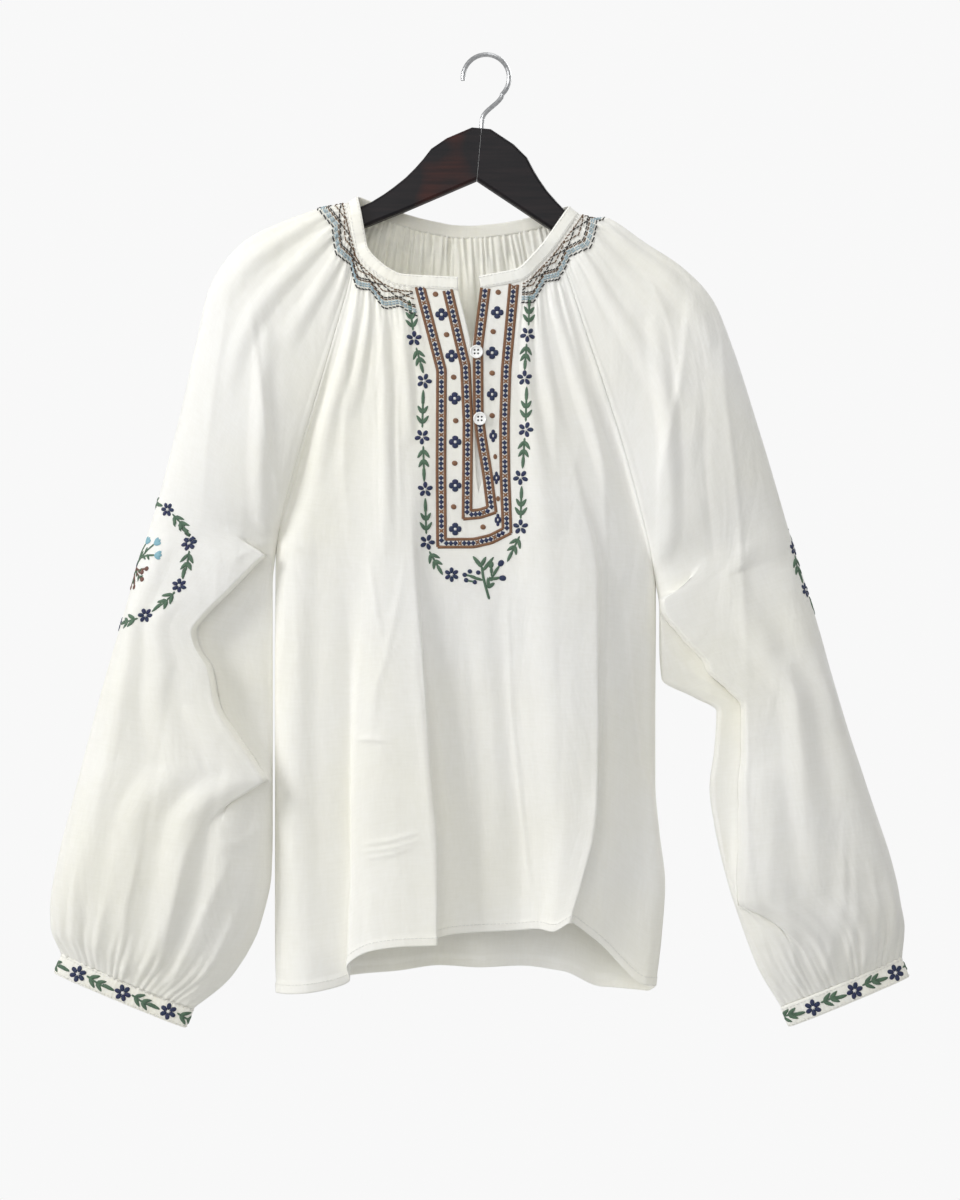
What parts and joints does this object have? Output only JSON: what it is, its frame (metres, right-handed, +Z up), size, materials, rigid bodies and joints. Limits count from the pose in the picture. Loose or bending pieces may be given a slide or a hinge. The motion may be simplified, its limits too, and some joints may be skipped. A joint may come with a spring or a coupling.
{
  "type": "blouse on a hanger",
  "caption": "White gathered raglan blouse with a slit placket, full sleeves and narrow cuffs, hanging on a two-armed wooden hanger.",
  "frame": {"origin": "inner top of the hook's crown, where a rail holds it, at the middle of the hanger's thickness", "axes": "+Z up, +X to the right as the front is seen, -Y out of the front of the blouse"},
  "size_m": [0.7423, 0.0887, 0.8439],
  "materials": {
    "cotton": "matt lawn cotton",
    "button": "satin",
    "wood": "dark stain, satin varnish",
    "steel": "plated wire"
  },
  "bodies": {
    "root": {"front": "cotton", "back": "cotton", "sleeve_left": "cotton", "sleeve_right": "cotton", "neckband": "cotton", "cuff_left": "cotton", "cuff_right": "cotton", "button_upper": "button", "button_lower": "button", "hanger_arm_left": "wood", "hanger_arm_right": "wood", "hook": "steel"}
  },
  "joints": []
}
